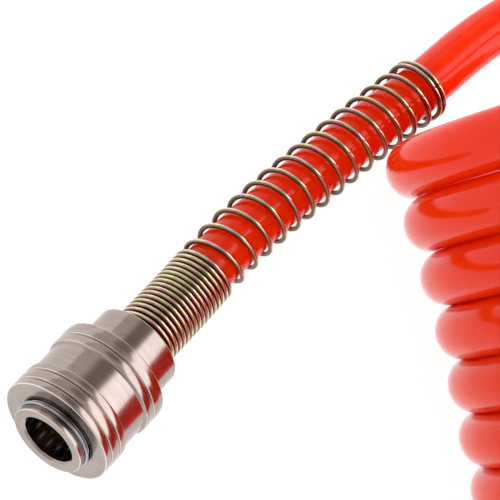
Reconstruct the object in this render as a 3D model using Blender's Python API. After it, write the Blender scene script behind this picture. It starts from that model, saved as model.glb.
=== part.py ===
"""Coiled air hose: a red polyurethane recoil hose with a quick coupler socket on one end and a plug
on the other. Each separate piece of the real hose is one object. Outlines are in millimetres, as
(distance from the fitting's mouth towards the hose, radius) pairs, and turned about local +Z."""

import math

import bmesh
import bpy
import numpy as np
from mathutils import Matrix, Vector

MM = 0.001

# Hose
HOSE_OUTER_R = 6.0
HOSE_INNER_R = 4.0
TUBE_R = 5.85                     # the tail tubes, clear of the spring guards round them
TAIL_STEP = 12.0                  # distance between the points of a tail

# Coil, lying on its side with its axis along X
COIL_MEAN_R = 46.0
COIL_PITCH = 12.5
COIL_TURNS = 15.5
COIL_Y = 32.2
COIL_TOP_START_X = -40.7          # centre of the hose where the first full turn starts, at the top
COIL_Z = COIL_MEAN_R + HOSE_OUTER_R
COIL_RING_START_X = -42.5
COIL_RING_END_X = 159.2

# Coupler socket
COUPLER_MOUTH = (-0.5, -105.7, 16.2)
COUPLER_HEADING = 26.5            # degrees from +Y towards -X, the way the hose leaves
COUPLER_NOSE_UP = 7.0             # degrees
BORE_R = 6.25
BARREL_R = 8.85
SLEEVE_R = 13.5
SLEEVE_WAIST_R = 12.75
SLEEVE_FRONT = 3.0
SLEEVE_REAR = 23.0
SLEEVE_TRAVEL = 4.0
BALL_R = 1.75
BALL_COUNT = 6
BALL_AT = 9.7
BALL_LOCKED_R = 7.1
BALL_HOLE_R = 1.95
NUT_R = 10.4
NUT_REAR = 31.5
BARB_END = 46.0
HOSE_END_START = 28.9
HOSE_END_STOP = 47.0
HOSE_END_INNER_R = 4.3
TAIL_START = 47.8

# Plug on the far end
PLUG_MOUTH = (-66.8, 99.1, 11.7)
PLUG_HEADING = -90.0
PLUG_NOSE_UP = 1.6
PLUG_TIP_R = 6.0
PLUG_BORE_R = 3.2

# Spring guards
GUARD_R = 7.1
GUARD_WIRE_R = 0.6
GUARD_FROM = 29.4
GUARD_CLOSE_TURNS = 18.5
GUARD_CLOSE_PITCH = 1.46
GUARD_OPEN_TURNS = 14.5
GUARD_OPEN_PITCH = 5.17
GUARD_END_TURNS = 1.5
GUARD_STEPS = 10                  # points in one turn of the wire

# Routes of the two tails, beyond the ends that the fittings hold, chosen by hand
COUPLER_TAIL_ROUTE = [
    (-29.5, -49.0, 9.9), (-41.0, -22.4, 8.5), (-51.0, 3.6, 7.9), (-56.4, 19.0, 7.8), (-61.0, 31.0, 8.0),
    (-64.8, 43.5, 8.0), (-67.6, 56.5, 8.6), (-69.2, 70.0, 12.6), (-69.0, 82.5, 21.4), (-67.0, 91.8, 34.6),
    (-63.8, 96.2, 50.5), (-59.8, 94.6, 66.6), (-55.4, 87.2, 80.8), (-51.0, 75.0, 91.4),
    (-46.9, 59.5, 97.4), (-43.6, 44.5, 98.5),
]
PLUG_TAIL_ROUTE = [
    (153.0, 41.0, 6.0), (149.4, 59.6, 6.0), (139.0, 77.7, 6.0), (123.0, 91.1, 6.0),
    (103.4, 98.2, 6.2), (84.0, 99.1, 6.8), (66.0, 99.1, 7.8), (40.0, 99.1, 8.7),
]
COUPLER_TAIL_STOP = 256.0         # along the tail, where it runs up against the coil's first turn
PLUG_TAIL_STOP = 183.0            # along the tail, where it comes out from under the coil

TURNED_STEPS = 32
SMALL_STEPS = 24
SMOOTH_ANGLE = math.radians(35)

# name: base colour, metallic, roughness
FINISHES = {
    "nickel_steel": ((0.62, 0.59, 0.57), 1.0, 0.28),
    "zinc_steel": ((0.55, 0.47, 0.30), 1.0, 0.32),
    "bright_steel": ((0.70, 0.72, 0.76), 1.0, 0.20),
    "brass": ((0.75, 0.58, 0.28), 1.0, 0.35),
    "black_rubber": ((0.03, 0.03, 0.03), 0.0, 0.60),
    "red_hose": ((0.90, 0.06, 0.01), 0.0, 0.12),
}


def clear_scene():
    for obj in list(bpy.data.objects):
        bpy.data.objects.remove(obj)


def make_materials():
    materials = {}
    for name, (colour, metallic, roughness) in FINISHES.items():
        material = bpy.data.materials.new(name)
        material.use_nodes = True
        shader = material.node_tree.nodes["Principled BSDF"]
        shader.inputs["Base Color"].default_value = (*colour, 1.0)
        shader.inputs["Metallic"].default_value = metallic
        shader.inputs["Roughness"].default_value = roughness
        materials[name] = material
    return materials


def fitting_empty(name, mouth, heading, nose_up):
    """An empty at a fitting's mouth, whose +Z runs into the fitting towards the hose."""
    heading = math.radians(heading)
    nose_up = math.radians(nose_up)
    inward = Vector((-math.sin(heading) * math.cos(nose_up), math.cos(heading) * math.cos(nose_up),
                     -math.sin(nose_up)))
    side = Vector((0, 0, 1)).cross(inward).normalized()
    above = inward.cross(side)
    rotation = Matrix((side, above, inward)).transposed()
    empty = bpy.data.objects.new(name, None)
    empty.matrix_world = Matrix.Translation(Vector(mouth) * MM) @ rotation.to_4x4()
    bpy.context.collection.objects.link(empty)
    return empty


def add_object(name, data, material, parent=None):
    obj = bpy.data.objects.new(name, data)
    data.materials.append(MATERIALS[material])
    obj.parent = parent
    bpy.context.collection.objects.link(obj)
    return obj


def smooth(mesh):
    mesh.shade_smooth()
    mesh.set_sharp_from_angle(angle=SMOOTH_ANGLE)


def turned(name, outline, material, parent, steps=TURNED_STEPS, closed=True):
    """A solid turned about local +Z. An open outline starts and ends on the axis."""
    bm = bmesh.new()
    points = [bm.verts.new((radius * MM, 0, along * MM)) for along, radius in outline]
    edges = [bm.edges.new(pair) for pair in zip(points, points[1:])]
    if closed:
        edges.append(bm.edges.new((points[-1], points[0])))
    bmesh.ops.spin(bm, geom=points + edges, cent=(0, 0, 0), axis=(0, 0, 1),
                   angle=2 * math.pi, steps=steps, use_merge=True)
    bmesh.ops.remove_doubles(bm, verts=bm.verts, dist=1e-6)
    bmesh.ops.recalc_face_normals(bm, faces=bm.faces)
    mesh = bpy.data.meshes.new(name)
    bm.to_mesh(mesh)
    bm.free()
    smooth(mesh)
    return add_object(name, mesh, material, parent)


def wire(name, points, radius, material, parent=None, bevel_resolution=0):
    """A round wire or tube through points in millimetres, with closed ends."""
    curve = bpy.data.curves.new(name, "CURVE")
    curve.dimensions = "3D"
    curve.bevel_depth = radius * MM
    curve.bevel_resolution = bevel_resolution
    curve.use_fill_caps = True
    spline = curve.splines.new("POLY")
    spline.points.add(len(points) - 1)
    for target, point in zip(spline.points, points):
        target.co = (*(Vector(point) * MM), 1.0)
    return add_object(name, curve, material, parent)


def helix(start, length, turns, radius, steps_per_turn):
    count = round(turns * steps_per_turn)
    points = []
    for step in range(count + 1):
        angle = 2 * math.pi * turns * step / count
        points.append((radius * math.cos(angle), radius * math.sin(angle), start + length * step / count))
    return points


def smooth_curve(route):
    """Arc length and position tables of a C2 cubic spline through the route's points."""
    route = np.asarray(route, float)
    knots = np.concatenate([[0.0], np.cumsum(np.linalg.norm(np.diff(route, axis=0), axis=1))])
    gaps = np.diff(knots)[:, None]
    slopes = np.diff(route, axis=0) / gaps
    count = len(route)
    system = np.eye(count)
    bends = np.zeros_like(route)
    for i in range(1, count - 1):
        system[i, i - 1:i + 2] = gaps[i - 1, 0], 2 * (gaps[i - 1, 0] + gaps[i, 0]), gaps[i, 0]
        bends[i] = 6 * (slopes[i] - slopes[i - 1])
    system[0, 1] = system[-1, -2] = -1.0
    bends = np.linalg.solve(system, bends)
    fine = np.linspace(0, knots[-1], 2000)
    piece = np.clip(np.searchsorted(knots, fine) - 1, 0, count - 2)
    gap = gaps[piece]
    after = (fine - knots[piece])[:, None]
    before = gap - after
    places = (bends[piece] * before ** 3 + bends[piece + 1] * after ** 3) / (6 * gap)
    places += (route[piece] / gap - bends[piece] * gap / 6) * before
    places += (route[piece + 1] / gap - bends[piece + 1] * gap / 6) * after
    lengths = np.concatenate([[0.0], np.cumsum(np.linalg.norm(np.diff(places, axis=0), axis=1))])
    return lengths, places


def at_length(curve, distance):
    lengths, places = curve
    return Vector([float(np.interp(distance, lengths, places[:, i])) for i in range(3)])


def coil_point(turn):
    """The hose's centre in the coil, counted in turns from the top of the first one."""
    angle = 2 * math.pi * turn
    return (COIL_TOP_START_X + COIL_PITCH * turn, COIL_Y - COIL_MEAN_R * math.sin(angle),
            COIL_Z + COIL_MEAN_R * math.cos(angle))


def on_axis(empty, distance):
    return tuple(empty.matrix_world @ Vector((0, 0, distance * MM)) / MM)


def tail_curve(empty, route, coil_points):
    """The hose's centre line from the nut's rear, on through the spring guard and the route."""
    held = [on_axis(empty, distance) for distance in (GUARD_FROM, 38.0, TAIL_START)]
    return smooth_curve(held + route + coil_points)


def ball_holes(empty):
    """The cutter for the six ball holes: radial cylinders that don't meet each other."""
    bm = bmesh.new()
    for index in range(BALL_COUNT):
        turn = Matrix.Rotation(2 * math.pi * index / BALL_COUNT, 4, "Z")
        place = Matrix.Translation((7.5 * MM, 0, BALL_AT * MM)) @ Matrix.Rotation(math.pi / 2, 4, "Y")
        bmesh.ops.create_cone(bm, cap_ends=True, segments=12, radius1=BALL_HOLE_R * MM,
                              radius2=BALL_HOLE_R * MM, depth=5 * MM, matrix=turn @ place)
    mesh = bpy.data.meshes.new("ball_hole_cutter")
    bm.to_mesh(mesh)
    bm.free()
    cutter = bpy.data.objects.new("ball_hole_cutter", mesh)
    cutter.parent = empty
    cutter.hide_render = True
    cutter.display_type = "WIRE"
    bpy.context.collection.objects.link(cutter)
    return cutter


def cut(obj, cutter):
    modifier = obj.modifiers.new("cut", "BOOLEAN")
    modifier.operation = "DIFFERENCE"
    modifier.solver = "EXACT"
    modifier.object = cutter


def make_socket(empty):
    """The barrel that the plug goes into, with its ball holes, seal groove and valve seat."""
    outline = [
        (0, 7.2), (0, 8.35), (0.5, BARREL_R), (1.5, BARREL_R), (1.5, 8.0), (2.8, 8.0), (2.8, BARREL_R),
        (20.2, BARREL_R), (20.2, 7.6), (16.0, 7.6), (16.0, 4.5), (15.1, 4.5), (15.1, BORE_R),
        (14.2, BORE_R), (14.2, 7.5), (12.2, 7.5), (12.2, BORE_R), (0.95, BORE_R),
    ]
    socket = turned("socket_body", outline, "nickel_steel", empty)
    cut(socket, ball_holes(empty))


def make_snap_ring(empty):
    """The split wire ring in the nose groove, which stops the sleeve from coming off."""
    angles = np.linspace(math.radians(10), math.radians(350), 25)
    wire("snap_ring", [(9.0 * math.cos(a), 9.0 * math.sin(a), 2.15) for a in angles], 0.5,
         "bright_steel", empty)


def make_sleeve(empty):
    """The ribbed locking sleeve: a ramp and a land inside hold the balls in, and a chamber holds its spring."""
    front, rear = SLEEVE_FRONT, SLEEVE_REAR
    outline = [
        (front, 9.15), (front, 12.8), (front + 0.5, SLEEVE_R), (front + 1.6, SLEEVE_R),
        (front + 1.8, SLEEVE_R - 0.4), (front + 2.0, SLEEVE_R), (front + 4.45, SLEEVE_R),
        (front + 4.65, SLEEVE_R - 0.4), (front + 4.85, SLEEVE_R), (front + 6.8, SLEEVE_R),
        (front + 7.3, SLEEVE_WAIST_R), (rear - 6.4, SLEEVE_WAIST_R), (rear - 5.9, SLEEVE_R),
        (rear - 3.85, SLEEVE_R), (rear - 3.65, SLEEVE_R - 0.4), (rear - 3.45, SLEEVE_R),
        (rear - 0.6, SLEEVE_R), (rear, 12.9), (rear, 10.9), (12.2, 10.9), (12.2, 9.05), (9.4, 9.05),
        (5.8, 10.3), (4.2, 10.3), (4.2, 9.15),
    ]
    turned("lock_sleeve", outline, "nickel_steel", empty)


def make_balls(empty):
    bm = bmesh.new()
    bmesh.ops.create_icosphere(bm, subdivisions=2, radius=BALL_R * MM)
    mesh = bpy.data.meshes.new("lock_ball")
    bm.to_mesh(mesh)
    bm.free()
    mesh.shade_smooth()
    mesh.materials.append(MATERIALS["bright_steel"])
    for index in range(BALL_COUNT):
        angle = 2 * math.pi * index / BALL_COUNT
        ball = bpy.data.objects.new(f"lock_ball_{index + 1}", mesh)
        ball.parent = empty
        ball.location = Vector((math.cos(angle) * BALL_LOCKED_R, math.sin(angle) * BALL_LOCKED_R,
                                BALL_AT)) * MM
        bpy.context.collection.objects.link(ball)


def make_coupler_insides(empty):
    """The seals, the shut-off valve, the two springs, the hose stem and the nut of the socket."""
    turned("plug_seal", [(12.5, 6.5), (12.9, 6.1), (13.5, 6.1), (13.9, 6.5), (13.9, 7.0), (13.5, 7.2),
                         (12.9, 7.2), (12.5, 7.0)], "black_rubber", empty, SMALL_STEPS)
    turned("body_seal", [(16.3, 6.45), (17.0, 6.45), (17.0, 7.25), (16.3, 7.25)], "black_rubber", empty,
           SMALL_STEPS)
    turned("valve_poppet", [(16.0, 0), (16.0, 2.6), (12.9, 2.6), (12.5, 2.9), (12.5, 3.5), (12.9, 3.9),
                            (17.4, 3.9), (17.4, 5.5), (18.5, 5.5), (18.5, 1.5), (20.5, 1.5), (20.5, 0)],
           "brass", empty, SMALL_STEPS, closed=False)
    turned("valve_seal", [(16.3, 4.6), (16.5, 4.3), (16.9, 4.3), (17.1, 4.6), (17.1, 5.2), (16.9, 5.4),
                          (16.5, 5.4), (16.3, 5.2)], "black_rubber", empty, SMALL_STEPS)
    wire("sleeve_spring", helix(13.1, 6.4, 2.5, 9.85, 16), 0.4, "bright_steel", empty)
    wire("valve_spring", helix(19.1, 4.4, 2.0, 4.3, 16), 0.2, "bright_steel", empty)
    stem = [(17.3, 6.1), (17.3, 7.3), (20.5, 7.3), (20.5, NUT_R), (22.7, NUT_R), (22.7, 8.4),
            (27.4, 8.4), (27.4, 3.5), (30.0, 3.5)]
    for ridge in (30.0, 35.2, 40.4):
        stem += [(ridge, 3.95), (ridge + 5.0, 3.5)]
    stem += [(BARB_END, 3.5), (BARB_END, 2.9), (24.0, 2.9), (24.0, 6.1)]
    turned("hose_stem", stem, "brass", empty, SMALL_STEPS)
    turned("clamp_nut", nut_outline(SLEEVE_REAR), "nickel_steel", empty)


def nut_outline(front):
    """A round clamp nut: its thread is over the stem's boss, and its rear pocket holds the spring guard."""
    return [(front, 8.7), (front, NUT_R - 0.4), (front + 0.4, NUT_R), (NUT_REAR - 0.5, NUT_R),
            (NUT_REAR, NUT_R - 0.5), (NUT_REAR, 8.0), (28.6, 8.0), (28.6, 6.5), (27.7, 6.5),
            (27.7, 8.7)]


def guard_turns():
    """The guard's wire as (turns, distance along) pairs where its pitch changes."""
    turns = np.cumsum([0, GUARD_CLOSE_TURNS, GUARD_OPEN_TURNS, GUARD_END_TURNS])
    pitches = np.array([GUARD_CLOSE_PITCH, GUARD_OPEN_PITCH, GUARD_CLOSE_PITCH])
    return turns, np.concatenate([[0.0], np.cumsum(np.diff(turns) * pitches)])


def make_guard(name, curve):
    """A spring guard wound round the hose's centre line, which it bends with."""
    turns, along = guard_turns()
    count = round(turns[-1] * GUARD_STEPS)
    points = []
    for step in range(count + 1):
        turn = turns[-1] * step / count
        distance = float(np.interp(turn, turns, along))
        centre = at_length(curve, distance)
        ahead = (at_length(curve, distance + 1.0) - centre).normalized()
        side = Vector((0, 0, 1)).cross(ahead).normalized()
        above = ahead.cross(side)
        angle = 2 * math.pi * turn
        points.append(centre + GUARD_R * (math.cos(angle) * side + math.sin(angle) * above))
    wire(name, points, GUARD_WIRE_R, "zinc_steel")


def make_hose_end(name, empty):
    """The end of the hose pushed over a fitting's barb, cut square."""
    outline = [(HOSE_END_START, HOSE_END_INNER_R), (HOSE_END_START, HOSE_OUTER_R),
               (HOSE_END_STOP, HOSE_OUTER_R), (HOSE_END_STOP, HOSE_END_INNER_R)]
    turned(name, outline, "red_hose", empty, SMALL_STEPS)


def make_tail(name, curve, start, stop):
    count = math.ceil((stop - start) / TAIL_STEP)
    points = [at_length(curve, start + (stop - start) * step / count) for step in range(count + 1)]
    wire(name, points, TUBE_R, "red_hose", bevel_resolution=2)


def make_coil():
    """The space that the hose's turns fill: a thick ring turned about the coil's axis."""
    inner, outer = COIL_MEAN_R - HOSE_OUTER_R, COIL_MEAN_R + HOSE_OUTER_R
    length = COIL_RING_END_X - COIL_RING_START_X
    coil = turned("hose_coil", [(0, inner), (0, outer), (length, outer), (length, inner)], "red_hose",
                  None, 48)
    coil.rotation_euler = (0, math.pi / 2, 0)
    coil.location = Vector((COIL_RING_START_X, COIL_Y, COIL_Z)) * MM


def make_plug(empty):
    """The plug's turned body with a hexagon, and the nut that holds the hose on it."""
    outline = [(0, PLUG_BORE_R), (0, 4.9), (1.1, PLUG_TIP_R), (3.6, PLUG_TIP_R), (4.2, 4.7), (6.6, 4.7),
               (7.4, PLUG_TIP_R), (14.6, PLUG_TIP_R), (14.6, 7.6), (22.7, 7.6), (22.7, 8.4), (27.4, 8.4),
               (27.4, 3.6), (30.0, 3.6)]
    for ridge in (30.0, 35.2, 40.4):
        outline += [(ridge, 3.95), (ridge + 5.0, 3.6)]
    outline += [(BARB_END, 3.6), (BARB_END, PLUG_BORE_R)]
    body = turned("plug_body", outline, "nickel_steel", empty, SMALL_STEPS)
    hexagon = turned("plug_hexagon", [(16.4, 5.0), (16.4, 9.2), (17.1, 9.9), (21.5, 9.9), (22.2, 9.2),
                                      (22.2, 5.0)], "nickel_steel", empty, 6)
    hexagon.hide_render = True
    hexagon.display_type = "WIRE"
    modifier = body.modifiers.new("hexagon", "BOOLEAN")
    modifier.operation = "UNION"
    modifier.solver = "EXACT"
    modifier.object = hexagon
    turned("plug_nut", nut_outline(23.0), "nickel_steel", empty)


clear_scene()
MATERIALS = make_materials()
coupler = fitting_empty("coupler_axis", COUPLER_MOUTH, COUPLER_HEADING, COUPLER_NOSE_UP)
plug = fitting_empty("plug_axis", PLUG_MOUTH, PLUG_HEADING, PLUG_NOSE_UP)
make_socket(coupler)
make_snap_ring(coupler)
make_sleeve(coupler)
make_balls(coupler)
make_coupler_insides(coupler)
make_plug(plug)

coil_start = [coil_point(turn) for turn in (0.0, 0.06, 0.12, 0.18, 0.24)]
coil_end = [coil_point(COIL_TURNS - back) for back in (0.0, 0.06, 0.12, 0.18, 0.24)]
coupler_curve = tail_curve(coupler, COUPLER_TAIL_ROUTE, coil_start)
plug_curve = tail_curve(plug, PLUG_TAIL_ROUTE[::-1], coil_end)
make_guard("coupler_spring_guard", coupler_curve)
make_guard("plug_spring_guard", plug_curve)
make_hose_end("hose_end_coupler", coupler)
make_hose_end("hose_end_plug", plug)
make_tail("hose_tail_coupler", coupler_curve, TAIL_START - GUARD_FROM, COUPLER_TAIL_STOP)
make_tail("hose_tail_plug", plug_curve, TAIL_START - GUARD_FROM, PLUG_TAIL_STOP)
make_coil()
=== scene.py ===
"""Looks of the coiled air hose: the hose wound at its real length, finely turned fittings, wire
spring guards, a pale floor, soft studio light and the camera. Lengths are in metres, and outlines
are in millimetres as (distance from the fitting's mouth, radius, corner rounding)."""
import math

import bmesh
import bpy
import numpy as np
from mathutils import Matrix, Vector


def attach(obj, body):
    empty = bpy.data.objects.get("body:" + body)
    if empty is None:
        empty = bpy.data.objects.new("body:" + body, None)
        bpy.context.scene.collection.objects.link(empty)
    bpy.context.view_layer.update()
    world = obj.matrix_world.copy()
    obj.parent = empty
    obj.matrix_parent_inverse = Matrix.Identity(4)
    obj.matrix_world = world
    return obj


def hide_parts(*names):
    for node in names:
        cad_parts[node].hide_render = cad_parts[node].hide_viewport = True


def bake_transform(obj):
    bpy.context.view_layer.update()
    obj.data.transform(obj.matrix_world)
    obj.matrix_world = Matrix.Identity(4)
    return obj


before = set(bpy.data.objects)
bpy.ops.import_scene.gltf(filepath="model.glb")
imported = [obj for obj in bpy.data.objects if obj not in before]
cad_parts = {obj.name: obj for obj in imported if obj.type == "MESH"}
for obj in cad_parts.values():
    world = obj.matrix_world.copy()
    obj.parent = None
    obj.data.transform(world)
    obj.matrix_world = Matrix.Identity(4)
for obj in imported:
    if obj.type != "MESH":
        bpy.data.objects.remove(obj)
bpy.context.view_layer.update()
MM = 0.001

# Camera
CAMERA_TARGET = (-0.0282, -0.0562, 0.0335)
CAMERA_TOWARDS = (0.0, -0.492, 0.8706)      # from the target to the camera
CAMERA_RIGHT = (0.26, 0.841, 0.476)
CAMERA_DISTANCE = 0.44
CAMERA_VIEW_DEGREES = 13.9

# Hose, with the coil's place and size as in the CAD
TAIL_RADIUS = 6.2 * MM
COIL_AXIAL_RADIUS = 6.42 * MM               # the wound hose is slightly flattened
COIL_RADIAL_RADIUS = 5.85 * MM
COIL_MEAN_R = 0.046
COIL_PITCH = 0.0125
COIL_TURNS = 15.5
COIL_Y = 0.0322
COIL_TOP_START_X = -0.0407
COIL_Z = 0.052
TURN_POINTS = 24
HOSE_SIDES = 40
HOSE_STEP = 0.003
GUARD_LINE_STEP = 0.0005
SPLINE_FINENESS = 20                        # fine points for each point of a route
WOUND_MARGIN_X = 0.004                      # how far from the coil the hose still counts as wound
WOUND_MARGIN_R = 0.006
FLATTENING_STEPS = 15                       # over how many steps the hose becomes flattened

# How the coil's first turns differ from a true helix
COIL_BOW = 0.0020                           # sideways
COIL_BOW_TURNS = 6.0
COIL_SPREAD = 0.0014                        # extra room between the turns, along the coil
COIL_SPREAD_IN_TURNS = 3.0
COIL_SPREAD_OUT_TURNS = 10.0
COIL_LEAN = math.tan(math.radians(3))
COIL_LEAN_SIDE = (0.87, 0.49)               # +Y and up: this side leans away from the coupler
COIL_LEAN_IN_TURNS = 0.25
COIL_LEAN_OUT_TURNS = 7.0

# Places of the fittings as in the CAD, in metres and degrees
COUPLER_MOUTH = (-0.0005, -0.1057, 0.0162)
COUPLER_HEADING = 26.5
COUPLER_NOSE_UP = 7.0
PLUG_MOUTH = (-0.0668, 0.0991, 0.0117)
PLUG_HEADING = -90.0
PLUG_NOSE_UP = 1.6

# Parts of the fittings, in millimetres from the mouth and from the axis
GUARD_FROM = 29.4
HELD_MIDDLE = 38.0                          # the hose is held straight up to TAIL_START
TAIL_START = 47.8
NUT_REAR = 31.5
BALL_COUNT = 6
BALL_AT = 9.7
BALL_HOLE_R = 1.95
DRILL_FROM = 5.0
DRILL_TO = 10.0
DRILL_SIDES = 32
SNAP_RING_AT = 2.1
SNAP_RING_R = 8.95
SNAP_RING_WIRE_R = 0.42
SNAP_RING_FROM = -80.0                      # degrees, so that the gap is on the hidden side
SNAP_RING_TO = 260.0
HEXAGON_FROM = 16.4
HEXAGON_TO = 22.2
HEXAGON_R = 9.9

# Spring guards, in millimetres
GUARD_R = 7.1
GUARD_WIRE_R = 0.6
GUARD_FLARE = 0.55                          # how much the open turns widen towards the end
GUARD_CLOSE_TURNS = 18.5
GUARD_CLOSE_PITCH = 1.46
GUARD_OPEN_TURNS = 14.5
GUARD_OPEN_PITCH = 5.17
GUARD_END_TURNS = 1.5
WIRE_STEPS = 32                             # for each turn
WIRE_SIDES = 16
SNAP_RING_STEPS = 200
SNAP_RING_SIDES = 20

# Routes of the tails, within 1.6 mm of the CAD's
COUPLER_TAIL_ROUTE = [
    (-0.0295, -0.0490, 0.0099), (-0.0410, -0.0224, 0.0085), (-0.0510, 0.0036, 0.0079),
    (-0.0566, 0.0190, 0.0078), (-0.0617, 0.0310, 0.0080), (-0.0660, 0.0435, 0.0082),
    (-0.0691, 0.0565, 0.0092), (-0.0707, 0.0700, 0.0131), (-0.0704, 0.0825, 0.0216),
    (-0.0682, 0.0918, 0.0346), (-0.0648, 0.0962, 0.0505), (-0.0606, 0.0946, 0.0666),
    (-0.0560, 0.0872, 0.0808), (-0.0515, 0.0750, 0.0914), (-0.0472, 0.0595, 0.0974),
    (-0.0437, 0.0445, 0.0985),
]
PLUG_TAIL_ROUTE = [
    (0.1530, 0.0410, 0.0063), (0.1494, 0.0596, 0.0063), (0.1390, 0.0777, 0.0063),
    (0.1230, 0.0911, 0.0063), (0.1034, 0.0982, 0.0064), (0.0840, 0.0991, 0.0068),
    (0.0660, 0.0991, 0.0078), (0.0400, 0.0991, 0.0087),
]

# Fineness and finish of the turned fittings
TURNED_STEPS = 144
FILLET_STEPS = 4
PAINTED_HIGHLIGHT_ROUNDING = 0.3                         # outer corners up to this rounding get a painted highlight
# bright colour painted on those edges as a highlight
PAINTED_HIGHLIGHT_STEEL = (0.90, 0.84, 0.80, 1.0)
EDGE_HIGHLIGHT_SHARE = 0.75                          # how much of the painted highlight colour the edges have
SMOOTH_ANGLE = math.radians(32)

# Stage and light
FLOOR_HALF_SIZE = 3.0
FLOOR_GLOW = 0.97
WALL_LIGHT = 0.76
SOFTBOX_LIGHT = 1.5
LIGHTS_AIM = (0, 0, 0.03)


# --- geometry helpers -----------------------------------------------------------------------

def fitting_matrix(mouth, heading, nose_up):
    """Places local +Z along a fitting, from its mouth towards the hose."""
    heading, nose_up = math.radians(heading), math.radians(nose_up)
    inward = Vector((-math.sin(heading) * math.cos(nose_up), math.cos(heading) * math.cos(nose_up),
                     -math.sin(nose_up)))
    side = Vector((0, 0, 1)).cross(inward).normalized()
    above = inward.cross(side)
    rotation = Matrix((side, above, inward)).transposed()
    return Matrix.Translation(Vector(mouth)) @ rotation.to_4x4()


COUPLER = fitting_matrix(COUPLER_MOUTH, COUPLER_HEADING, COUPLER_NOSE_UP)
PLUG = fitting_matrix(PLUG_MOUTH, PLUG_HEADING, PLUG_NOSE_UP)


def new_piece(name, points, faces, matrix=None, body="root"):
    """A smooth-shaded piece that moves with a body, or with none yet if body is None."""
    mesh = bpy.data.meshes.new(name)
    mesh.from_pydata([tuple(point) for point in points], [], faces)
    mesh.update()
    mesh.shade_smooth()
    mesh.set_sharp_from_angle(angle=SMOOTH_ANGLE)
    piece = bpy.data.objects.new(name, mesh)
    bpy.context.scene.collection.objects.link(piece)
    if matrix is not None:
        piece.matrix_world = matrix
    if body is not None:
        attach(piece, body)
    return piece


def finish_with(piece, material, slot, *nodes):
    """Gives a piece its material and hides the CAD nodes that it stands for. The slot is not used.
    """
    piece.data.materials.append(material)
    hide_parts(*nodes)


def filleted(corners):
    """The closed outline of (along, radius, rounding) corners, with an arc in place of each rounded
    one, and a painted-highlight value for each point: 1 on the arcs of small outer corners, 0
    elsewhere."""
    count = len(corners)
    area = sum(corners[i - 1][0] * corners[i][1] - corners[i][0] * corners[i - 1][1]
               for i in range(count))
    outline, highlight_share = [], []
    for i, (along, radius, rounding) in enumerate(corners):
        here = Vector((along, radius))
        if rounding == 0:
            outline.append(here)
            highlight_share.append(0.0)
            continue
        back = (Vector(corners[i - 1][:2]) - here).normalized()
        on = (Vector(corners[(i + 1) % count][:2]) - here).normalized()
        half = back.angle(on) / 2
        reach = rounding / math.tan(half)
        middle = here + (back + on).normalized() * (rounding / math.sin(half))
        start = here + back * reach - middle
        sweep = start.angle_signed(here + on * reach - middle)
        # the arcs of small outer corners get a painted highlight
        painted_light = 1.0 if rounding <= PAINTED_HIGHLIGHT_ROUNDING and sweep * area < 0 else 0.0
        for step in range(FILLET_STEPS + 1):
            turn = Matrix.Rotation(-sweep * step / FILLET_STEPS, 2)
            outline.append(middle + turn @ start)
            highlight_share.append(painted_light if 0 < step < FILLET_STEPS else 0.0)
    return outline, highlight_share


def turned(name, corners, matrix, body="root"):
    """A closed outline turned about local Z. A point attribute marks the small outer edges that get
    a painted highlight.
    """
    outline, highlight_share = filleted(corners)
    count = len(outline)
    points, faces = [], []
    for step in range(TURNED_STEPS):
        angle = 2 * math.pi * step / TURNED_STEPS
        for along, radius in outline:
            points.append(Vector((radius * math.cos(angle), radius * math.sin(angle), along)) * MM)
    for step in range(TURNED_STEPS):
        after = (step + 1) % TURNED_STEPS
        for i in range(count):
            j = (i + 1) % count
            faces.append((step * count + i, step * count + j, after * count + j, after * count + i))
    piece = new_piece(name, points, faces, matrix, body)
    painted_edge_highlight = piece.data.attributes.new("painted_edge_highlight", "FLOAT", "POINT")
    painted_edge_highlight.data.foreach_set("value", np.tile(highlight_share, TURNED_STEPS).astype(np.float32))
    face_outwards(piece)
    weigh_normals(piece)
    return piece


def combine(piece, other, operation):
    """Combines a piece with another shape by a boolean, and takes the other shape away."""
    other.matrix_world = piece.matrix_world
    modifier = piece.modifiers.new("combined", "BOOLEAN")
    modifier.operation = operation
    modifier.solver = "EXACT"
    modifier.object = other
    bpy.context.view_layer.update()
    evaluated = piece.evaluated_get(bpy.context.evaluated_depsgraph_get())
    mesh = bpy.data.meshes.new_from_object(evaluated)
    piece.modifiers.clear()
    piece.data = mesh
    mesh.shade_smooth()
    mesh.set_sharp_from_angle(angle=SMOOTH_ANGLE)
    bpy.data.objects.remove(other)
    weigh_normals(piece)


def tool(name, points, faces):
    """A shape that combine() uses up."""
    mesh = bpy.data.meshes.new(name)
    mesh.from_pydata([tuple(point) for point in points], [], faces)
    shape = bpy.data.objects.new(name, mesh)
    bpy.context.scene.collection.objects.link(shape)
    face_outwards(shape)
    return shape


def prism(sides, radius, start, stop, place):
    """A closed prism along local Z of a place, as points and faces."""
    points = []
    for along in (start, stop):
        for i in range(sides):
            angle = 2 * math.pi * i / sides
            corner = Vector((radius * math.cos(angle), radius * math.sin(angle), along))
            points.append(place @ (corner * MM))
    faces = [tuple(range(sides - 1, -1, -1)), tuple(range(sides, 2 * sides))]
    faces += [(i, (i + 1) % sides, sides + (i + 1) % sides, sides + i) for i in range(sides)]
    return points, faces


def ball_drills():
    """Round drills that point outwards, one for each ball."""
    points, faces = [], []
    for index in range(BALL_COUNT):
        place = (Matrix.Rotation(2 * math.pi * index / BALL_COUNT, 4, "Z")
                 @ Matrix.Translation((0, 0, BALL_AT * MM)) @ Matrix.Rotation(math.pi / 2, 4, "Y"))
        more_points, more_faces = prism(DRILL_SIDES, BALL_HOLE_R, DRILL_FROM, DRILL_TO, place)
        faces += [tuple(len(points) + i for i in face) for face in more_faces]
        points += more_points
    return tool("ball_drills", points, faces)


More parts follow.
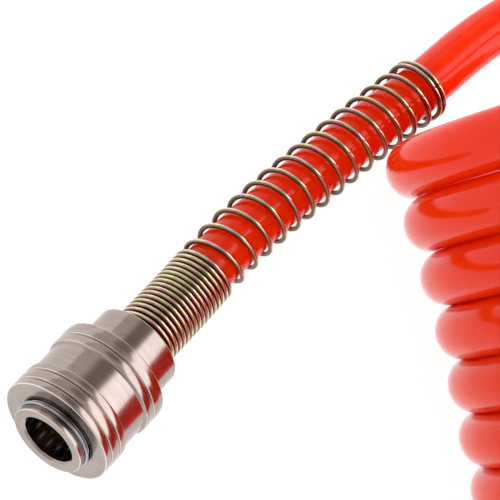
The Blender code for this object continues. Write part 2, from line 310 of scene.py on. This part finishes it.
def weigh_normals(piece):
    """Keeps flat faces flat-looking next to their rounded edges."""
    modifier = piece.modifiers.new("weighted_normals", "WEIGHTED_NORMAL")
    modifier.keep_sharp = True


def face_outwards(piece):
    bm = bmesh.new()
    bm.from_mesh(piece.data)
    bmesh.ops.recalc_face_normals(bm, faces=bm.faces)
    bm.to_mesh(piece.data)
    bm.free()


def unit(vectors):
    return vectors / np.linalg.norm(vectors, axis=-1, keepdims=True)


def carried_across(places, first):
    """A unit vector across a line at each of its points, carried along it without twist."""
    ahead = unit(np.gradient(places, axis=0))
    across = np.zeros_like(places)
    side = np.asarray(first, float)
    for i, tangent in enumerate(ahead):
        side = unit(side - tangent * (side @ tangent))
        across[i] = side
    return across


def swept(name, places, across, above, radii, sides, body="root"):
    """A solid rod along places, with two radii at each, across and above, and flat ends."""
    places, radii = np.asarray(places), np.asarray(radii)
    angles = 2 * math.pi * np.arange(sides) / sides
    rings = []
    for place, u, v, (a, b) in zip(places, across, above, radii):
        rings.append(place + np.cos(angles)[:, None] * u * a + np.sin(angles)[:, None] * v * b)
    points = np.concatenate(rings)
    faces = []
    for ring in range(len(places) - 1):
        for i in range(sides):
            j = (i + 1) % sides
            low, high = ring * sides, (ring + 1) * sides
            faces.append((low + i, low + j, high + j, high + i))
    faces.append(tuple(range(sides - 1, -1, -1)))
    last = (len(places) - 1) * sides
    faces.append(tuple(range(last, last + sides)))
    piece = new_piece(name, points, faces, None, body)
    face_outwards(piece)
    return piece


def lengths_along(places):
    """The length of a line from its start to each of its points."""
    return np.concatenate([[0.0], np.cumsum(np.linalg.norm(np.diff(places, axis=0), axis=1))])


def sampled(at, lengths, values):
    """Vectors at some lengths along a line, from the vectors at all of its points."""
    return np.stack([np.interp(at, lengths, values[:, i]) for i in range(3)], axis=1)


def smooth_curve(route, step):
    """Points every step along a C2 cubic spline through the route's points."""
    route = np.asarray(route, float)
    knots = lengths_along(route)
    gaps = np.diff(knots)[:, None]
    slopes = np.diff(route, axis=0) / gaps
    count = len(route)
    system = np.eye(count)
    bends = np.zeros_like(route)
    for i in range(1, count - 1):
        system[i, i - 1:i + 2] = gaps[i - 1, 0], 2 * (gaps[i - 1, 0] + gaps[i, 0]), gaps[i, 0]
        bends[i] = 6 * (slopes[i] - slopes[i - 1])
    system[0, 1] = system[-1, -2] = -1.0
    bends = np.linalg.solve(system, bends)
    fine = np.linspace(0, knots[-1], SPLINE_FINENESS * count)
    piece = np.clip(np.searchsorted(knots, fine) - 1, 0, count - 2)
    gap = gaps[piece]
    after = (fine - knots[piece])[:, None]
    before = gap - after
    places = (bends[piece] * before ** 3 + bends[piece + 1] * after ** 3) / (6 * gap)
    places += (route[piece] / gap - bends[piece] * gap / 6) * before
    places += (route[piece + 1] / gap - bends[piece + 1] * gap / 6) * after
    lengths = lengths_along(places)
    even = np.linspace(0, lengths[-1], math.ceil(lengths[-1] / step) + 1)
    return sampled(even, lengths, places)


def swept_wire(name, places, outward, radius, body="root"):
    """A round wire along places, whose first side faces outward. The radius is in millimetres."""
    tangent = unit(np.gradient(places, axis=0))
    flat = unit(outward - tangent * np.sum(outward * tangent, axis=1, keepdims=True))
    radii = np.full((len(places), 2), radius * MM)
    return swept(name, places, flat, np.cross(tangent, flat), radii, WIRE_SIDES, body)


def on_axis(matrix, distance):
    """A point on a fitting's axis, at a distance from its mouth in millimetres."""
    return tuple(matrix @ Vector((0, 0, distance * MM)))


def round_coupler(angle, radius, distance):
    """Points round the coupler's axis, and the direction away from the axis at each of them."""
    rotation = np.array(COUPLER.to_3x3())
    outward = np.stack([np.cos(angle), np.sin(angle), np.zeros_like(angle)], axis=1)
    places = radius * outward
    places[:, 2] = distance
    return places * MM @ rotation.T + np.array(COUPLER.translation), outward @ rotation.T


def coil_point(turn):
    """The hose's centre in the coil, counted in turns from the top of the first one."""
    angle = 2 * math.pi * turn
    bow = COIL_BOW * math.sin(math.pi * min(max(turn / COIL_BOW_TURNS, 0.0), 1.0))
    across, up = -COIL_MEAN_R * math.sin(angle), COIL_MEAN_R * math.cos(angle)
    left = COIL_TURNS - turn
    lean = COIL_LEAN * (COIL_LEAN_SIDE[0] * across + COIL_LEAN_SIDE[1] * up + COIL_MEAN_R)
    lean *= min(max(turn / COIL_LEAN_IN_TURNS, 0.0), 1.0) * min(left / COIL_LEAN_OUT_TURNS, 1.0)
    spread = COIL_SPREAD * min(turn / COIL_SPREAD_IN_TURNS, 1.0, left / COIL_SPREAD_OUT_TURNS)
    return COIL_TOP_START_X + COIL_PITCH * turn + spread + lean, COIL_Y + bow + across, COIL_Z + up


def hose_route():
    coil_count = round(COIL_TURNS * TURN_POINTS)
    coil = [coil_point(COIL_TURNS * i / coil_count) for i in range(coil_count + 1)]
    return ([on_axis(COUPLER, TAIL_START)] + COUPLER_TAIL_ROUTE + coil + PLUG_TAIL_ROUTE
            + [on_axis(PLUG, TAIL_START)])


# --- camera ---------------------------------------------------------------------------------

def make_camera():
    data = bpy.data.cameras.new("camera")
    data.angle = math.radians(CAMERA_VIEW_DEGREES)
    data.clip_start = 0.01
    data.clip_end = 50
    camera = bpy.data.objects.new("camera", data)
    bpy.context.scene.collection.objects.link(camera)
    towards = Vector(CAMERA_TOWARDS).normalized()
    right = Vector(CAMERA_RIGHT)
    right = (right - towards * right.dot(towards)).normalized()
    up = towards.cross(right)
    rotation = Matrix((right, up, towards)).transposed().to_4x4()
    place = Vector(CAMERA_TARGET) + towards * CAMERA_DISTANCE
    camera.matrix_world = Matrix.Translation(place) @ rotation
    bpy.context.scene.camera = camera


# --- materials ------------------------------------------------------------------------------

class Nodes:
    """A short way to write a material's node tree."""

    def __init__(self, name):
        self.material = bpy.data.materials.new(name)
        self.material.use_nodes = True
        self.tree = self.material.node_tree
        self.shader = self.tree.nodes["Principled BSDF"]

    def add(self, kind, inputs=None, **settings):
        node = self.tree.nodes.new(kind)
        for key, value in settings.items():
            setattr(node, key, value)
        for key, value in (inputs or {}).items():
            self.feed(node.inputs[key], value)
        return node

    def feed(self, socket, value):
        if isinstance(value, bpy.types.NodeSocket):
            self.tree.links.new(value, socket)
        else:
            socket.default_value = value

    def math(self, operation, first, second=0.0):
        node = self.add("ShaderNodeMath", {0: first, 1: second}, operation=operation)
        return node.outputs[0]

    def ramp(self, factor, stops):
        node = self.add("ShaderNodeValToRGB", {"Fac": factor})
        elements = node.color_ramp.elements
        while len(elements) < len(stops):
            elements.new(0.5)
        for element, (position, colour) in zip(elements, stops):
            element.position = position
            element.color = (*colour, 1.0)
        return node.outputs["Color"]

    def noise(self, vector, scale, detail=2.0, roughness=0.5):
        node = self.add("ShaderNodeTexNoise", {"Vector": vector, "Scale": scale,
                                               "Detail": detail, "Roughness": roughness})
        return node.outputs["Fac"]

    def mean(self, first, second):
        return self.math("MULTIPLY", self.math("ADD", first, second), 0.5)

    def attribute(self, name):
        return self.add("ShaderNodeAttribute", attribute_name=name).outputs["Fac"]

    def bump(self, height, strength, distance):
        node = self.add("ShaderNodeBump", {"Height": height, "Strength": strength,
                                           "Distance": distance})
        self.feed(self.shader.inputs["Normal"], node.outputs["Normal"])

    def span(self, value, low, high):
        node = self.add("ShaderNodeMapRange", {"Value": value, "To Min": low, "To Max": high})
        return node.outputs["Result"]

    def local(self):
        return self.add("ShaderNodeTexCoord").outputs["Object"]

    def set(self, **values):
        for key, value in values.items():
            self.feed(self.shader.inputs[key.replace("_", " ")], value)


def lathe_vector(nodes, around):
    """Coordinates that follow a turned face: along it, its radius, and a little of the angle."""
    parts = nodes.add("ShaderNodeSeparateXYZ", {0: nodes.local()})
    x, y, z = parts.outputs
    squares = nodes.math("ADD", nodes.math("MULTIPLY", x, x), nodes.math("MULTIPLY", y, y))
    radius = nodes.math("SQRT", squares)
    angle = nodes.math("MULTIPLY", nodes.math("ARCTAN2", y, x), around)
    return nodes.add("ShaderNodeCombineXYZ", {0: z, 1: radius, 2: angle}).outputs[0]


def turned_metal(name, dark, pale, rough_low, rough_high):
    """Metal with fine turning marks, blotches, and a painted highlight on its small outer edges."""
    nodes = Nodes(name)
    lathe = lathe_vector(nodes, 0.0006)
    fine = nodes.noise(lathe, 9000.0, 2.0, 0.6)
    wide = nodes.noise(lathe, 1400.0, 2.0)
    clouds = nodes.noise(nodes.local(), 260.0, 3.0, 0.6)
    plain = nodes.ramp(nodes.mean(wide, clouds), [(0.35, dark), (0.65, pale)])
    # painted highlight: the small outer edges are mixed towards a bright colour
    highlight_amount = nodes.math("MULTIPLY", nodes.attribute("painted_edge_highlight"), EDGE_HIGHLIGHT_SHARE)
    colour = nodes.add("ShaderNodeMixRGB", {"Fac": highlight_amount, "Color1": plain, "Color2": PAINTED_HIGHLIGHT_STEEL})
    nodes.set(Base_Color=colour.outputs["Color"], Metallic=1.0,
              Roughness=nodes.span(nodes.mean(fine, clouds), rough_low, rough_high))
    nodes.bump(nodes.math("ADD", nodes.math("MULTIPLY", fine, 0.5), wide), 0.25, 0.00002)
    return nodes.material


def zinc_wire():
    """Yellow zinc plating in patches of several tints, with a painted highlight along the wire's
    outside and painted shade on its sides and inside.
    """
    nodes = Nodes("yellow_zinc_wire")
    place = nodes.local()
    patches = nodes.noise(place, 420.0, 2.0, 0.6)
    fine = nodes.noise(place, 2600.0, 2.0)
    tint = nodes.ramp(patches, [(0.30, (0.75, 0.88, 0.40)), (0.45, (0.93, 0.78, 0.50)),
                                (0.55, (0.95, 0.72, 0.58)), (0.70, (0.95, 0.66, 0.72))])
    # painted highlight along the wire's outside and painted shade on its sides and inside, set by
    # the crest value
    painted_light = nodes.ramp(nodes.attribute("crest"),
                      [(0.0, (0.12, 0.10, 0.09)), (0.60, (0.22, 0.19, 0.17)),
                       (0.84, (0.36, 0.33, 0.30)), (0.97, (0.95, 0.93, 0.90))])
    colour = nodes.add("ShaderNodeMixRGB", {"Fac": 1.0, "Color1": tint, "Color2": painted_light},
                       blend_type="MULTIPLY")
    nodes.set(Base_Color=colour.outputs["Color"], Metallic=1.0,
              Roughness=nodes.span(fine, 0.08, 0.15))
    nodes.bump(fine, 0.15, 0.00002)
    return nodes.material


def hose_plastic():
    """Glossy red polyurethane that lets some light through."""
    nodes = Nodes("red_polyurethane")
    place = nodes.local()
    wide = nodes.noise(place, 60.0, 2.0)
    fine = nodes.noise(place, 900.0, 3.0, 0.6)
    colour = nodes.ramp(wide, [(0.3, (0.93, 0.031, 0.0008)), (0.7, (0.96, 0.037, 0.0011))])
    nodes.set(Base_Color=colour, Roughness=nodes.span(fine, 0.08, 0.13), IOR=1.35)
    nodes.shader.inputs["Subsurface Weight"].default_value = 1.0
    nodes.shader.inputs["Subsurface Radius"].default_value = (0.015, 0.0012, 0.0003)
    nodes.shader.inputs["Subsurface Scale"].default_value = 1.0
    nodes.bump(nodes.math("ADD", wide, nodes.math("MULTIPLY", fine, 0.08)), 0.20, 0.0003)
    return nodes.material


def rubber():
    nodes = Nodes("black_rubber")
    fine = nodes.noise(nodes.local(), 1500.0, 3.0)
    colour = nodes.ramp(fine, [(0.3, (0.012, 0.012, 0.013)), (0.7, (0.03, 0.03, 0.03))])
    nodes.set(Base_Color=colour, Roughness=nodes.span(fine, 0.5, 0.7))
    nodes.bump(fine, 0.2, 0.00003)
    return nodes.material


STEEL = turned_metal("nickel_plated_steel", (0.37, 0.302, 0.272), (0.46, 0.382, 0.348), 0.13, 0.20)
BRIGHT = turned_metal("bright_steel", (0.34, 0.365, 0.40), (0.46, 0.485, 0.53), 0.10, 0.20)
BRASS = turned_metal("turned_brass", (0.62, 0.44, 0.18), (0.78, 0.58, 0.28), 0.20, 0.34)
ZINC = zinc_wire()
HOSE = hose_plastic()
RUBBER = rubber()


# --- hose -----------------------------------------------------------------------------------

def make_hose():
    """The whole hose as one swept tube: round in the tails, slightly flattened in the coil."""
    places = smooth_curve(hose_route(), HOSE_STEP)
    from_axis = np.hypot(places[:, 1] - COIL_Y, places[:, 2] - COIL_Z)
    wound = ((places[:, 0] > COIL_TOP_START_X - WOUND_MARGIN_X)
             & (abs(from_axis - COIL_MEAN_R) < WOUND_MARGIN_R))
    even_out = np.ones(FLATTENING_STEPS) / FLATTENING_STEPS
    share = np.convolve(wound.astype(float), even_out, mode="same")[:, None]
    radii = (share * (COIL_AXIAL_RADIUS, COIL_RADIAL_RADIUS)
             + (1 - share) * (TAIL_RADIUS, TAIL_RADIUS))
    ahead = unit(np.gradient(places, axis=0))
    across = unit(np.array([1.0, 0, 0]) - ahead * ahead[:, :1])
    last_wound = np.flatnonzero(wound)[-1]
    across[last_wound:] = carried_across(places[last_wound:], across[last_wound])
    hose = swept("air_hose", places, across, np.cross(ahead, across), radii, HOSE_SIDES)
    finish_with(hose, HOSE, "red_hose", "hose_tail_coupler", "hose_coil", "hose_tail_plug")


# --- spring guards --------------------------------------------------------------------------

def make_guard(name, matrix, route, node):
    """A spring guard's wire, wound round the hose's centre line: close coils, then open ones. The
    point attribute "crest" is 1 along the wire's outside, where the material paints a highlight,
    and falls to -1 on its inside, where it paints shade."""
    held = [on_axis(matrix, distance) for distance in (GUARD_FROM, HELD_MIDDLE, TAIL_START)]
    line = smooth_curve(held + route, GUARD_LINE_STEP)
    lengths = lengths_along(line)
    turns = np.cumsum([0, GUARD_CLOSE_TURNS, GUARD_OPEN_TURNS, GUARD_END_TURNS])
    pitches = np.array([GUARD_CLOSE_PITCH, GUARD_OPEN_PITCH, GUARD_CLOSE_PITCH])
    along = np.concatenate([[0.0], np.cumsum(np.diff(turns) * pitches)]) * MM
    turn = np.linspace(0, turns[-1], round(turns[-1] * WIRE_STEPS) + 1)
    distance = np.interp(turn, turns, along)
    centre = sampled(distance, lengths, line)
    ahead = unit(sampled(distance, lengths, unit(np.gradient(line, axis=0))))
    side = unit(np.cross([0.0, 0.0, 1.0], ahead))
    above = np.cross(ahead, side)
    angle = (2 * math.pi * turn)[:, None]
    outward = np.cos(angle) * side + np.sin(angle) * above
    flare = GUARD_FLARE * MM * np.clip((turn[:, None] - GUARD_CLOSE_TURNS) / GUARD_OPEN_TURNS, 0, 1)
    wire = centre + (GUARD_R * MM + flare) * outward + flare * np.array([0.0, 0.0, 1.0])
    guard = swept_wire(name, wire, outward, GUARD_WIRE_R)
    outer = np.cos(2 * math.pi * np.arange(WIRE_SIDES) / WIRE_SIDES)
    crest = guard.data.attributes.new("crest", "FLOAT", "POINT")
    crest.data.foreach_set("value", np.tile(outer, len(wire)).astype(np.float32))
    finish_with(guard, ZINC, "zinc_steel", node)


# --- fittings -------------------------------------------------------------------------------

def ribs(start, rear):
    """The sleeve's outside: three slightly crowned ribs in front, a waist, and two behind it."""
    def rib(low, high):
        return [(low, 12.9, 0.03), (low + 0.32, 13.36, 0.22), ((low + high) / 2, 13.5, 4.0),
                (high - 0.14, 13.36, 0.14), (high, 12.9, 0.03)]

    return ([(start, 13.4, 0.3)] + rib(start, start + 1.8)[2:] + rib(start + 1.9, start + 4.65)
            + rib(start + 4.75, start + 6.95) + [(start + 7.2, 12.8, 0.2), (rear - 6.3, 12.8, 0.2)]
            + rib(rear - 6.1, rear - 3.65) + rib(rear - 3.55, rear)[:3] + [(rear, 13.36, 0.3)])


def make_coupler():
    sleeve = turned("ribbed_sleeve", ribs(3.0, 23.0) + [
        (22.8, 10.9, 0.15), (12.2, 10.9, 0.3), (12.2, 9.05, 0.1), (9.4, 9.05, 0.3),
        (5.8, 10.3, 0.3), (4.2, 10.3, 0.1), (4.2, 9.15, 0.1), (3.0, 9.15, 0.15)],
        COUPLER, "sleeve")
    finish_with(sleeve, STEEL, "nickel_steel", "lock_sleeve")
    nut = turned("coupler_nut_turned", nut_corners(), COUPLER)
    finish_with(nut, STEEL, "nickel_steel", "clamp_nut")
    socket = turned("socket_turned", [
        (0, 6.75, 0.06), (0, 8.85, 0.2), (1.5, 8.85, 0.12), (1.5, 8.0, 0.1), (2.8, 8.0, 0.1),
        (2.8, 8.85, 0.12), (20.2, 8.85, 0.2), (20.2, 7.6, 0.1), (16.0, 7.6, 0.1), (16.0, 4.5, 0.1),
        (15.1, 4.5, 0.1), (15.1, 6.25, 0.1), (14.2, 6.25, 0.08), (14.2, 7.5, 0.1), (12.2, 7.5, 0.1),
        (12.2, 6.25, 0.08), (0.5, 6.25, 0.08)], COUPLER)
    combine(socket, ball_drills(), "DIFFERENCE")
    finish_with(socket, STEEL, "nickel_steel", "socket_body")
    make_snap_ring()
    make_compression_spring("sleeve_spring_wire", "sleeve_spring",
                            start=13.1, length=6.4, turns=2.5, radius=9.85, wire=0.4)
    make_compression_spring("valve_spring_wire", "valve_spring",
                            start=19.1, length=4.4, turns=2.0, radius=4.3, wire=0.2)


def make_compression_spring(name, node, start, length, turns, radius, wire):
    """A spring in the coupler: a wire wound round the coupler's axis, with its place baked into the
    mesh.
    """
    turn = np.linspace(0, turns, round(turns * WIRE_STEPS) + 1)
    places, outward = round_coupler(2 * math.pi * turn, radius, start + length * turn / turns)
    spring = swept_wire(name, places, outward, wire, None)
    finish_with(spring, BRIGHT, "bright_steel", node)
    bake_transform(spring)


def make_snap_ring():
    """The split wire ring in the nose's groove."""
    angles = np.radians(np.linspace(SNAP_RING_FROM, SNAP_RING_TO, SNAP_RING_STEPS))
    places, outward = round_coupler(angles, SNAP_RING_R, SNAP_RING_AT)
    along = np.broadcast_to(np.array(COUPLER.to_3x3())[:, 2], outward.shape)
    radii = np.full((len(places), 2), SNAP_RING_WIRE_R * MM)
    ring = swept("snap_ring_wire", places, outward, along, radii, SNAP_RING_SIDES)
    finish_with(ring, BRIGHT, "bright_steel", "snap_ring")


def nut_corners():
    """The clamp nut's outline, which is the same on both fittings."""
    return [(23.0, 8.7, 0.1), (23.0, 10.4, 0.3), (NUT_REAR - 0.1, 10.4, 0.3), (NUT_REAR, 9.9, 0.2),
            (NUT_REAR, 8.0, 0.15), (28.6, 8.0, 0.1), (28.6, 6.5, 0.1), (27.7, 6.5, 0.1),
            (27.7, 8.7, 0.1)]


def make_plug():
    """The plug, with a hexagon whose corners are turned off, and a barb of three ridges."""
    nut = turned("plug_nut_turned", nut_corners(), PLUG)
    finish_with(nut, STEEL, "nickel_steel", "plug_nut")
    corners = [(0, 3.2, 0.15), (0, 4.9, 0.3), (1.1, 6.0, 0.3), (3.6, 6.0, 0.3), (4.2, 4.7, 0.2),
               (6.6, 4.7, 0.3), (7.4, 6.0, 0.3), (14.6, 6.0, 0.2), (14.6, 7.6, 0.3),
               (22.7, 7.6, 0.1), (22.7, 8.4, 0.1), (27.4, 8.4, 0.1), (27.4, 3.6, 0.1)]
    for ridge in (30.0, 35.2, 40.4):
        corners += [(ridge, 3.6, 0.03), (ridge, 3.95, 0.03), (ridge + 5.0, 3.6, 0.03)]
    corners += [(46.0, 3.6, 0.1), (46.0, 3.2, 0.1)]
    body = turned("plug_turned", corners, PLUG)
    hexagon = tool("hexagon", *prism(6, HEXAGON_R, HEXAGON_FROM, HEXAGON_TO, Matrix()))
    rounds = turned("hexagon_rounds", [
        (HEXAGON_FROM, 5.0, 0), (HEXAGON_FROM, 8.9, 0.1), (17.0, 9.92, 0.1), (21.6, 9.92, 0.1),
        (HEXAGON_TO, 8.9, 0.1), (HEXAGON_TO, 5.0, 0)], PLUG)
    combine(rounds, hexagon, "INTERSECT")
    combine(body, rounds, "UNION")
    finish_with(body, STEEL, "nickel_steel", "plug_body")


def restyle_cad_nodes():
    """Better materials for the CAD pieces that keep their own shape."""
    finishes = {
        BRIGHT: [f"lock_ball_{i + 1}" for i in range(BALL_COUNT)],
        BRASS: ["hose_stem", "valve_poppet"],
        RUBBER: ["plug_seal", "body_seal", "valve_seal"],
        HOSE: ["hose_end_coupler", "hose_end_plug"],
    }
    for material, names in finishes.items():
        for name in names:
            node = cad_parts[name]
            node.data.materials.clear()
            node.data.materials.append(material)
            node.data.shade_smooth()
            node.data.set_sharp_from_angle(angle=SMOOTH_ANGLE)


# --- stage ----------------------------------------------------------------------------------

def make_stage():
    mesh = bpy.data.meshes.new("floor")
    far = FLOOR_HALF_SIZE
    mesh.from_pydata([(-far, -far, 0), (far, -far, 0), (far, far, 0), (-far, far, 0)], [],
                     [(0, 1, 2, 3)])
    floor = bpy.data.objects.new("floor", mesh)
    bpy.context.scene.collection.objects.link(floor)
    nodes = Nodes("pale_floor")
    fine = nodes.noise(nodes.local(), 30.0)
    nodes.set(Base_Color=nodes.ramp(fine, [(0.3, (0.09, 0.09, 0.09)), (0.7, (0.11, 0.11, 0.11))]),
              Roughness=0.9)
    nodes.shader.inputs["Emission Color"].default_value = (1, 1, 1, 1)
    nodes.shader.inputs["Emission Strength"].default_value = FLOOR_GLOW
    mesh.materials.append(nodes.material)


def area_light(name, place, size, power):
    """A square light that glossy faces don't mirror, aimed at the middle of the part."""
    data = bpy.data.lights.new(name, "AREA")
    data.shape = "RECTANGLE"
    data.size = data.size_y = size
    data.energy = power
    light = bpy.data.objects.new(name, data)
    bpy.context.scene.collection.objects.link(light)
    light.location = place
    light.visible_glossy = False
    ahead = Vector(LIGHTS_AIM) - Vector(place)
    light.rotation_euler = ahead.to_track_quat("-Z", "Y").to_euler()


def make_light():
    """Two soft lights, in a studio whose warm grey walls are dark in two places, above the coupler
    and on the camera's side, and have one bright softbox behind and above the coil."""
    area_light("overhead_softbox", place=(0.0, 0.8, 0.8), size=0.6, power=5.0)
    area_light("front_softbox", place=(0.0, -0.35, 1.1), size=1.0, power=3.2)
    world = bpy.data.worlds.new("studio")
    bpy.context.scene.world = world
    world.use_nodes = True
    tree = world.node_tree
    direction = tree.nodes.new("ShaderNodeTexCoord").outputs["Generated"]

    def facing(towards, stops):
        """A colour that depends on how near a direction is to the given one."""
        dot = tree.nodes.new("ShaderNodeVectorMath")
        dot.operation = "DOT_PRODUCT"
        tree.links.new(direction, dot.inputs[0])
        dot.inputs[1].default_value = Vector(towards).normalized()
        ramp = tree.nodes.new("ShaderNodeValToRGB")
        for element, (position, colour) in zip(ramp.color_ramp.elements, stops):
            element.position = position
            element.color = (*colour, 1)
        tree.links.new(dot.outputs["Value"], ramp.inputs["Fac"])
        return ramp.outputs["Color"]

    def product(first, second):
        node = tree.nodes.new("ShaderNodeMixRGB")
        node.blend_type = "MULTIPLY"
        node.inputs["Fac"].default_value = 1.0
        tree.links.new(first, node.inputs["Color1"])
        tree.links.new(second, node.inputs["Color2"])
        return node.outputs["Color"]

    white = (1, 1, 1)
    warm = facing((0.858, 0.43, 0.24), [(0.0, (0.90, 0.84, 0.80)), (0.5, white)])
    dark_above = facing((-0.66, 0.33, 0.67), [(0.93, white), (0.985, (0.42, 0.38, 0.36))])
    dark_camera_side = facing((0.0, -0.492, 0.871), [(0.85, white), (0.97, (0.10, 0.09, 0.09))])
    walls = tree.nodes["Background"]
    walls.inputs["Strength"].default_value = WALL_LIGHT
    tree.links.new(product(product(warm, dark_above), dark_camera_side), walls.inputs["Color"])
    softbox = tree.nodes.new("ShaderNodeBackground")
    softbox.inputs["Strength"].default_value = SOFTBOX_LIGHT
    tree.links.new(facing((0.1, 0.76, 0.64), [(0.80, (0, 0, 0)), (0.86, (0.95, 0.98, 1.0))]),
                   softbox.inputs["Color"])
    both = tree.nodes.new("ShaderNodeAddShader")
    tree.links.new(walls.outputs[0], both.inputs[0])
    tree.links.new(softbox.outputs[0], both.inputs[1])
    tree.links.new(both.outputs[0], tree.nodes["World Output"].inputs["Surface"])
    bpy.context.scene.view_settings.view_transform = "Standard"


make_camera()
make_guard("coupler_guard_wire", COUPLER, COUPLER_TAIL_ROUTE, "coupler_spring_guard")
make_guard("plug_guard_wire", PLUG, PLUG_TAIL_ROUTE[::-1], "plug_spring_guard")
make_coupler()
make_plug()
make_hose()
restyle_cad_nodes()
make_stage()
make_light()
